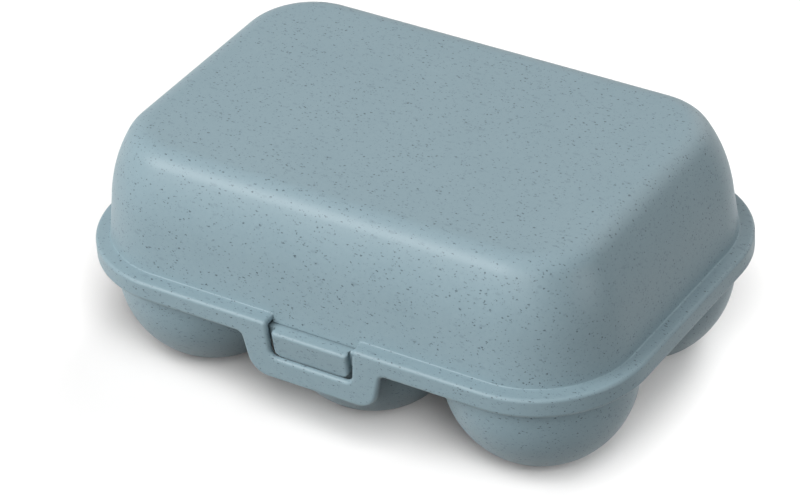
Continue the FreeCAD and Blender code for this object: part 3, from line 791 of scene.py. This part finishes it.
    def build_tongue(self) -> bpy.types.Object:
        """Make the catch tongue: a rounded profile carried along X, drawn in towards both ends.

        Its profile runs from under the lid's wall down a gentle ramp, round the nose, down the leaning
        face and round the foot. Near an end the face falls back and the foot rises by a quarter round,
        and between ramp and nose each end is nicked.

        Returns:
            The tongue's object.
        """
        steps = edge_steps(self.tongue_corner, 14, 1.2)
        middle = np.linspace(0.0, self.tongue_half - steps[-1], 8)[:-1]
        half = np.concatenate((middle, self.tongue_half - steps[::-1]))
        x = np.concatenate((-half[:0:-1], half))
        end = self.tongue_half - np.abs(x)
        fall = roundover(end, self.tongue_end)[:, None]
        low = (self.tongue_low + roundover(end, self.tongue_corner))[:, None]
        lean, slope = math.radians(self.tongue_lean), math.atan2(self.tongue_fall, self.tongue_ramp)
        rise, tilt = math.tan(slope), math.tan(lean)
        r, foot, ramp = self.tongue_nose, self.tongue_foot, self.tongue_recess + self.tongue_ramp
        lift = math.cos(slope) + math.sin(lean)
        touch = self.tongue_recess + tilt * (ramp * rise + r * lift) + r * (math.cos(lean) - math.sin(slope))
        touch = touch / (1.0 + tilt * rise)
        top = self.rim_top + self.tongue_proud
        nose_z = top - (ramp - touch) * rise - r * math.cos(slope) + fall * rise
        turn = np.pi / 2 - slope - np.linspace(0.0, 1.0, 11) * (np.pi / 2 - slope + lean)
        round_d = touch + r * math.sin(slope) + fall - r * np.cos(turn)
        round_z = nose_z + r * np.sin(turn)
        face_d, face_z = round_d[:, -1:], round_z[:, -1:]
        depth = np.maximum(face_z - low - foot * (1.0 - math.sin(lean)), self.tongue_face)
        turn = -lean - np.linspace(0.0, 1.0, 6) * (np.pi / 2 - lean)
        foot_d = face_d + depth * tilt + foot * (math.cos(lean) - np.cos(turn))
        foot_z = face_z - depth + foot * (np.sin(turn) + math.sin(lean))
        share = np.linspace(0.0, 1.0, 6)[1:-1]
        back, deck = np.full_like(low, self.tongue_reach), np.full_like(low, top)
        ramp_d, ramp_z = ramp + (round_d[:, :1] - ramp) * share, top + (round_z[:, :1] - top) * share
        down_d, down_z = face_d + depth * tilt * share, face_z - depth * share
        d = np.hstack((back, np.full_like(low, ramp), ramp_d, round_d, down_d, foot_d, back))
        z = np.hstack((deck, deck, ramp_z, round_z, down_z, foot_z, foot_z[:, -1:]))
        place = (d - touch - fall + self.notch_ahead) / self.notch_width
        nick = self.notch_depth / self.tongue_half * np.exp(-(place**2)) * (z > nose_z)
        outmost = np.abs(x / self.tongue_half)[:, None] ** self.notch_power
        across = self.tongue_shift + x[:, None] * (1.0 - nick * outmost)
        made = Surface()
        made.tube(np.stack((across, self.front_y + d, z), axis=-1))
        return made.build("catch_tongue")


@dataclass
class Hinge:
    """Two hinges at the back: barrels on the lid, and lugs with stub pins on the tray."""

    axis_y: float
    axis_z: float
    skirt_y: float
    skirt_low: float
    rim_y: float
    deck_low: float
    spacing: float = 62.0
    barrel_radius: float = 2.9
    barrel_length: float = 12.0
    bore_radius: float = 1.55
    pin_radius: float = 1.5
    pin_length: float = 3.0
    end_gap: float = 0.2
    lug_thickness: float = 2.2
    lug_radius: float = 2.5
    lug_root: float = 6.0
    lug_clearance: float = 0.4
    web_height: float = 3.2
    web_tuck: float = 0.05
    wall: float = 1.7
    edge: float = 0.3
    round_count: int = 40
    crease_deg: float = 35.0

    def _turned(self, made: Surface, profile: np.ndarray) -> None:
        """Turn a profile about the hinge axis: (x, radius) becomes a ring of that radius at x.

        Args:
            made: the surface to add to.
            profile: points of shape (n, 2).
        """
        angle = np.linspace(0.0, 2 * np.pi, self.round_count, endpoint=False)
        x = np.broadcast_to(profile[:, :1], (len(profile), angle.size))
        y = self.axis_y + profile[:, 1:] * np.cos(angle)
        z = self.axis_z + profile[:, 1:] * np.sin(angle)
        made.grid(np.stack((x, y, z), axis=-1), closed=True)

    def _plate(self, made: Surface, outline: np.ndarray, middle: float, thickness: float) -> None:
        """Add a plate across X, with each face sunk inside a thin rim.

        Each ring is the outline drawn in by a step, and lies back from the rim by that same step.

        Args:
            made: the surface to add to.
            outline: corners as (y, z), of shape (n, 2), in order.
            middle: x of the plate's middle.
            thickness: its thickness along X.
        """
        along = np.roll(outline, -1, axis=0) - np.roll(outline, 1, axis=0)
        along /= np.linalg.norm(along, axis=1, keepdims=True)
        inward = np.column_stack((-along[:, 1], along[:, 0]))
        inward *= np.sign(((outline.mean(0) - outline) * inward).sum())
        steps = edge_steps(self.edge, 5)
        draw = np.concatenate((steps[::-1], steps))[:, None, None]
        side = np.repeat((-1.0, 1.0), steps.size)[:, None, None]
        ring = outline + inward * draw
        x = np.broadcast_to(middle + side * (thickness / 2 - draw), ring[..., :1].shape)
        made.tube(np.concatenate((x, ring), axis=-1))

    def build_barrels(self) -> bpy.types.Object:
        """Make the lid's two barrels and the webs that join them to the skirt."""
        made, half = Surface(), self.barrel_length / 2
        web_low, web_top = self.skirt_low, self.axis_z + self.barrel_radius - self.web_tuck
        root, y = self.skirt_y - self.wall / 2, self.axis_y
        web = [(root, web_low), (y, web_low), (y, web_top), (root, web_low + self.web_height)]
        outer = arc((half - self.edge, self.barrel_radius - self.edge), self.edge, 0.0, 90.0, 5)
        profile = np.concatenate((np.array([[half, self.bore_radius]]), outer))
        profile = np.concatenate((profile, profile[::-1] * (-1.0, 1.0), profile[:1]))
        for side in (-1, 1):
            middle = side * self.spacing / 2
            self._turned(made, profile + (middle, 0.0))
            self._plate(made, np.array(web), middle, self.barrel_length - 2 * self.edge)
        return made.build("hinge_barrels", self.crease_deg)

    def build_lugs(self) -> bpy.types.Object:
        """Make the tray's four lugs under the deck, each with its stub pin."""
        made, top, back = Surface(), self.skirt_low - self.lug_clearance, self.rim_y - self.wall / 2
        start = 180.0 - math.degrees(math.asin((top - self.axis_z) / self.lug_radius))
        nose = arc((self.axis_y, self.axis_z), self.lug_radius, -90.0, start, 25)
        arm = [
            (self.rim_y, top),
            (back, self.deck_low),
            (self.rim_y - self.lug_root, self.deck_low),
            (back, self.axis_z - self.lug_radius),
        ]
        outline = np.concatenate((nose, np.array(arm)))
        offset = self.barrel_length / 2 + self.end_gap + self.lug_thickness / 2
        reach = self.lug_thickness / 2 + self.end_gap + self.pin_length
        tip = arc((-self.edge, self.pin_radius - self.edge), self.edge, 0.0, 90.0, 5)
        root = np.array([[-reach, self.pin_radius], [-reach, 0.0]])
        pin = np.concatenate((np.array([[0.0, 0.0]]), tip, root))
        for side in (-1, 1):
            for way in (-1, 1):
                middle = side * self.spacing / 2 - way * offset
                self._plate(made, outline, middle, self.lug_thickness)
                self._turned(made, pin * (way, 1.0) + (middle + way * reach, 0.0))
        return made.build("hinge_lugs", self.crease_deg)


class Term:
    """A value in a shader tree; arithmetic on it adds Math nodes."""

    def __init__(self, graph: "Graph", socket: bpy.types.NodeSocket) -> None:
        """Wrap an output socket of a graph."""
        self.graph = graph
        self.socket = socket

    def _math(self, operation: str, first: "Term | float", second: "Term | float") -> "Term":
        """Add a Math node on two values."""
        made = self.graph.node("Math", {0: first, 1: second}, operation=operation)
        return Term(self.graph, made.outputs[0])

    def __add__(self, other: "Term | float") -> "Term":
        """Sum."""
        return self._math("ADD", self, other)

    __radd__ = __add__

    def __sub__(self, other: "Term | float") -> "Term":
        """Difference."""
        return self._math("SUBTRACT", self, other)

    def __rsub__(self, other: float) -> "Term":
        """Difference from a number."""
        return self._math("SUBTRACT", other, self)

    def __mul__(self, other: "Term | float") -> "Term":
        """Product."""
        return self._math("MULTIPLY", self, other)

    __rmul__ = __mul__

    def clamped(self) -> "Term":
        """The value held between 0 and 1."""
        made = self.graph.node("Clamp", {"Value": self})
        return Term(self.graph, made.outputs[0])


class Graph:
    """The node tree of one material or world."""

    def __init__(self, owner: bpy.types.Material | bpy.types.World) -> None:
        """Start an empty node tree on the owner."""
        owner.use_nodes = True
        self.tree = owner.node_tree
        self.tree.nodes.clear()

    def node(self, kind: str, inputs: dict | None = None, **settings: str) -> bpy.types.ShaderNode:
        """Add a node of any type.

        Args:
            kind: the node's type, without the leading ShaderNode.
            inputs: by socket identifier, name or number, a value, a link or a node's first output.
            settings: attributes, set first.

        Returns:
            The node.
        """
        made = self.tree.nodes.new("ShaderNode" + kind)
        for name, value in settings.items():
            setattr(made, name, value)
        for key, value in (inputs or {}).items():
            named = [s for s in made.inputs if key in (s.identifier, s.name)]
            socket = made.inputs[key] if isinstance(key, int) else named[0]
            if isinstance(value, Term):
                value = value.socket
            elif isinstance(value, bpy.types.Node):
                value = value.outputs[0]
            if isinstance(value, bpy.types.NodeSocket):
                self.tree.links.new(value, socket)
            else:
                socket.default_value = value
        return made

    def place(self) -> bpy.types.NodeSocket:
        """Object coordinates, which are metres in the frame."""
        return self.node("TexCoord").outputs["Object"]

    def mix(self, factor: Term, first: object, second: object) -> bpy.types.NodeSocket:
        """Mix two colours by a factor."""
        sockets = {"Factor_Float": factor, "A_Color": first, "B_Color": second}
        return self.node("Mix", sockets, data_type="RGBA").outputs["Result"]


@dataclass(frozen=True)
class FleckLayer:
    """One family of flecks: grains scattered one to a cell, of which only a share shows."""

    cell: float
    stretch: float
    turn_deg: Triple
    share: float
    size: float
    strength: float


@dataclass(frozen=True)
class FleckedPlastic:
    """Satin moulded plastic with sparse dark flecks and short fibres."""

    name: str = "flecked_plastic"
    colour: Triple = (0.230, 0.315, 0.352)
    shade: Triple = (0.198, 0.280, 0.317)
    fleck: Triple = (0.045, 0.070, 0.088)
    roughness: float = 0.43
    rough_change: float = 0.12
    ior: float = 1.38
    sharpness: float = 3.0
    ragged_waves: float = 2600.0
    ragged_shift: float = 0.0008
    fine_waves: float = 900.0
    fine_share: float = 0.9
    broad_waves: float = 55.0
    broad_share: float = 0.6
    grain_waves: float = 1500.0
    grain_strength: float = 0.12
    grain_height: float = 0.00006
    layers: tuple[FleckLayer, ...] = (
        FleckLayer(0.82, 1.8, (15.0, 40.0, 70.0), 0.85, 0.29, 0.80),
        FleckLayer(0.80, 3.2, (35.0, 20.0, 25.0), 0.80, 0.22, 0.86),
        FleckLayer(0.76, 3.6, (70.0, 55.0, 120.0), 0.80, 0.22, 0.86),
        FleckLayer(0.45, 1.6, (5.0, 75.0, 50.0), 0.70, 0.30, 0.70),
        FleckLayer(1.50, 2.4, (50.0, 10.0, 95.0), 0.80, 0.34, 0.16),
    )

    def _flecks(self, graph: Graph, place: bpy.types.ShaderNode, layer: FleckLayer) -> Term:
        """Mask of one layer: a cell's grain shows where the distance to it is under its own radius.

        Args:
            graph: the material's tree.
            place: node that gives the coordinates.
            layer: the layer.

        Returns:
            A value from 0 to the layer's strength.
        """
        per_m = 1.0 / (layer.cell * MM)
        turn = tuple(math.radians(a) for a in layer.turn_deg)
        scale = (per_m / layer.stretch, per_m, per_m)
        mapped = graph.node("Mapping", {"Vector": place, "Rotation": turn, "Scale": scale})
        cells = graph.node("TexVoronoi", {"Vector": mapped, "Scale": 1.0})
        chance = graph.node("SeparateColor", {"Color": cells.outputs["Color"]})
        radius = (Term(graph, chance.outputs["Red"]) - (1.0 - layer.share)) * (layer.size / layer.share)
        inside = (radius - Term(graph, cells.outputs["Distance"])) * (self.sharpness / layer.size)
        return inside.clamped() * layer.strength

    def build(self) -> bpy.types.Material:
        """Make the material."""
        material = bpy.data.materials.new(self.name)
        graph = Graph(material)
        place = graph.place()

        def noise(waves: float, detail: float) -> bpy.types.ShaderNode:
            """Add a noise of the given number of waves to a metre."""
            return graph.node("TexNoise", {"Vector": place, "Scale": waves, "Detail": detail})

        ragged = noise(self.ragged_waves, 2.0).outputs["Color"]
        shift = graph.node("VectorMath", {0: ragged, 1: (0.5, 0.5, 0.5)}, operation="SUBTRACT")
        shift = graph.node("VectorMath", {0: shift, "Scale": self.ragged_shift}, operation="SCALE")
        bent = graph.node("VectorMath", {0: place, 1: shift}, operation="ADD")
        masks = [self._flecks(graph, bent, layer) for layer in self.layers]
        mask = sum(masks[1:], masks[0])
        fine = Term(graph, noise(self.fine_waves, 3.0).outputs["Fac"])
        broad = Term(graph, noise(self.broad_waves, 2.0).outputs["Fac"])
        cloud = (0.5 + (fine - 0.5) * self.fine_share + (broad - 0.5) * self.broad_share).clamped()
        base = graph.mix(cloud, (*self.shade, 1.0), (*self.colour, 1.0))
        grain = noise(self.grain_waves, 2.0).outputs["Fac"]
        relief = {"Height": grain, "Strength": self.grain_strength, "Distance": self.grain_height}
        sockets = {
            "Base Color": graph.mix(mask.clamped(), base, (*self.fleck, 1.0)),
            "Roughness": (self.roughness + (fine - 0.5) * self.rough_change).clamped(),
            "Normal": graph.node("Bump", relief),
            "IOR": self.ior,
        }
        graph.node("OutputMaterial", {"Surface": graph.node("BsdfPrincipled", sockets)})
        return material


class Lit(Enum):
    """What a lamp shines on."""

    BOX = "box"
    FLOOR = "floor"


@dataclass(frozen=True)
class Lamp:
    """A square soft light, aimed at the object."""

    name: str
    place: Triple
    side: float
    watts: float
    lit: Lit = Lit.BOX


@dataclass
class Studio:
    """Plain pale floor, white surroundings and soft lights; lengths here are metres."""

    floor_half: float = 3.0
    floor_fade: Pair = (0.30, 0.60)
    floor_colour: tuple[float, ...] = (0.86, 0.855, 0.85, 1.0)
    floor_bounce: tuple[float, ...] = (0.07, 0.07, 0.07, 1.0)
    aim: Triple = (0.0, 0.0, 0.03)
    lamps: tuple[Lamp, ...] = (
        Lamp("key_light", (-0.75, -1.0, 1.0), 0.9, 25.3),
        Lamp("near_light", (0.2, -1.3, 0.8), 0.8, 9.5),
        Lamp("top_light", (0.0, 0.0, 1.6), 1.6, 6.6),
        Lamp("side_light", (1.4, 0.0, 0.3), 0.6, 4.7),
        Lamp("back_light", (0.35, 1.5, 0.75), 1.5, 11.0),
        Lamp("floor_front", (0.5, -0.75, 1.3), 0.8, 17.6, Lit.FLOOR),
        Lamp("floor_left", (-0.6, -0.7, 1.2), 0.8, 6.8, Lit.FLOOR),
        Lamp("floor_back", (0.3, 0.9, 1.2), 0.8, 13.1, Lit.FLOOR),
        Lamp("floor_right", (0.9, -0.9, 0.8), 0.8, 15.6, Lit.FLOOR),
    )

    def _seen(self, graph: Graph) -> Term:
        """1 for rays from the camera, or reflected or passed on by something glossy or clear."""
        path = graph.node("LightPath")
        names = ("Is Camera Ray", "Is Glossy Ray", "Is Transmission Ray")
        camera, glossy, clear = (Term(graph, path.outputs[name]) for name in names)
        return (camera + glossy + clear).clamped()

    def build_world(self) -> None:
        """Surround the scene with white that the camera and reflections see, and that lights nothing else."""
        world = bpy.data.worlds.new("studio_world")
        bpy.context.scene.world = world
        graph = Graph(world)
        sockets = {"Color": (1.0, 1.0, 1.0, 1.0), "Strength": self._seen(graph)}
        graph.node("OutputWorld", {"Surface": graph.node("Background", sockets)})

    def build_floor(self) -> bpy.types.Object:
        """Lay the floor, which keeps the object's shadow and fades to white.

        Returns:
            The floor's object.
        """
        made = Surface()
        corners = np.array([(-1.0, -1.0), (1.0, -1.0), (1.0, 1.0), (-1.0, 1.0)])
        made.cap(lifted(corners * self.floor_half / MM, 0.0))
        floor = made.build("floor")
        material = bpy.data.materials.new("pale_floor")
        graph = Graph(material)
        seen = self._seen(graph)
        colour = graph.mix(seen, self.floor_bounce, self.floor_colour)
        matt = graph.node("BsdfDiffuse", {"Color": colour})
        white = graph.node("Emission", {"Strength": seen})
        reach = graph.node("VectorMath", {0: graph.place()}, operation="LENGTH")
        near, far = self.floor_fade
        fade = ((Term(graph, reach.outputs["Value"]) - near) * (1.0 / (far - near))).clamped()
        faded = graph.node("MixShader", {0: fade, 1: matt, 2: white})
        graph.node("OutputMaterial", {"Surface": faded})
        floor.data.materials.append(material)
        return floor

    def build_lamps(self, shone_on: dict[Lit, list[bpy.types.Object]]) -> None:
        """Hang the soft lights.

        Args:
            shone_on: what the lamps of each kind shine on.
        """
        groups = {lit: bpy.data.collections.new("lit_" + lit.value) for lit in Lit}
        for lit, members in shone_on.items():
            for member in members:
                groups[lit].objects.link(member)
        for lamp in self.lamps:
            light = bpy.data.lights.new(lamp.name, "AREA")
            light.shape, light.size, light.energy = "SQUARE", lamp.side, lamp.watts
            hung = placed(lamp.name, light)
            hung.light_linking.receiver_collection = groups[lamp.lit]
            hung.location = lamp.place
            hung.rotation_euler = (Vector(self.aim) - hung.location).to_track_quat("-Z", "Y").to_euler()


@dataclass(frozen=True)
class PhotoCamera:
    """Camera at the photograph's viewpoint."""

    target: Triple = (0.0, -2.95, 29.5)
    azimuth: float = 33.555
    elevation: float = 34.325
    roll: float = -3.482
    distance: float = 957.6
    focal_px: float = 3814.4
    centre_px: Pair = (424.24, 243.84)
    image_px: tuple[int, int] = (800, 503)
    sensor: float = 36.0
    clip_start: float = 0.05

    def build(self) -> None:
        """Make the camera and choose it for the scene."""
        a, e, roll = (math.radians(v) for v in (self.azimuth, self.elevation, self.roll))
        back = Vector((math.sin(a) * math.cos(e), -math.cos(a) * math.cos(e), math.sin(e)))
        right = Vector((math.cos(a), math.sin(a), 0.0))
        turn = Matrix((right, back.cross(right), back)).transposed() @ Matrix.Rotation(roll, 3, "Z")
        (width, height), (x, y) = self.image_px, self.centre_px
        data = bpy.data.cameras.new("photo_camera")
        data.sensor_width, data.clip_start = self.sensor, self.clip_start
        data.lens = self.focal_px * self.sensor / width
        data.shift_x, data.shift_y = (width / 2 - x) / width, (y - height / 2) / width
        camera = placed("photo_camera", data)
        place = (Vector(self.target) + back * self.distance) * MM
        camera.matrix_world = Matrix.Translation(place) @ turn.to_4x4()
        bpy.context.scene.camera = camera


def dress(piece: bpy.types.Object, body: Body, material: bpy.types.Material) -> None:
    """Give a piece its finish and the body that it moves with.

    Args:
        piece: the piece.
        body: the body it rides on.
        material: its material.
    """
    piece.data.materials.append(material)
    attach(piece, body.value)
    LOG.info("%s rides on %s with %d faces", piece.name, body.value, len(piece.data.polygons))


def main() -> None:
    """Load the frame and build the box, the studio and the camera round it."""
    logging.basicConfig(level=logging.INFO, format="%(name)s: %(message)s")
    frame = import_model()
    joints = {joint["name"]: np.array(joint["pos_m"]) / MM for joint in frame["joints"]}
    pivot = joints["lid_hinge"]
    lid_box, tray_box, flap_box = (np.array(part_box(node)) / MM for node in ("lid", "tray", "latch_flap"))
    plastic = FleckedPlastic().build()

    lid = Lid(front_y=lid_box[0, 1], skirt_low=flap_box[1, 2], half_length=lid_box[1, 0])
    shell = lid.build_shell()
    dress(shell, Body.LID, plastic)
    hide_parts("lid")
    flap = lid.build_flap()
    flap.data.materials.append(plastic)
    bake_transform(flap)
    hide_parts("latch_flap")
    LOG.info("%s bends with %d faces", flap.name, len(flap.data.polygons))

    middle_y = lid.front_y + lid.half_width
    tray = Tray(middle_y, lid.front_y, rim_half_length=tray_box[1, 0], rim_top=tray_box[1, 2])
    deck = tray.build_shell()
    dress(deck, Body.TRAY, plastic)
    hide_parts("tray")
    tongue = tray.build_tongue()
    dress(tongue, Body.TRAY, plastic)

    hinge = Hinge(
        axis_y=pivot[1],
        axis_z=pivot[2],
        skirt_y=middle_y + lid.half_width,
        skirt_low=lid.skirt_low,
        rim_y=middle_y + tray.rim_half_width,
        deck_low=tray.rim_top - tray.wall,
    )
    barrels, lugs = hinge.build_barrels(), hinge.build_lugs()
    dress(barrels, Body.LID, plastic)
    dress(lugs, Body.TRAY, plastic)

    studio = Studio()
    studio.build_world()
    floor = studio.build_floor()
    studio.build_lamps({Lit.BOX: [shell, flap, deck, tongue, barrels, lugs], Lit.FLOOR: [floor]})
    PhotoCamera().build()
    bpy.context.scene.view_settings.view_transform = "Standard"


if __name__ == "__main__":
    main()
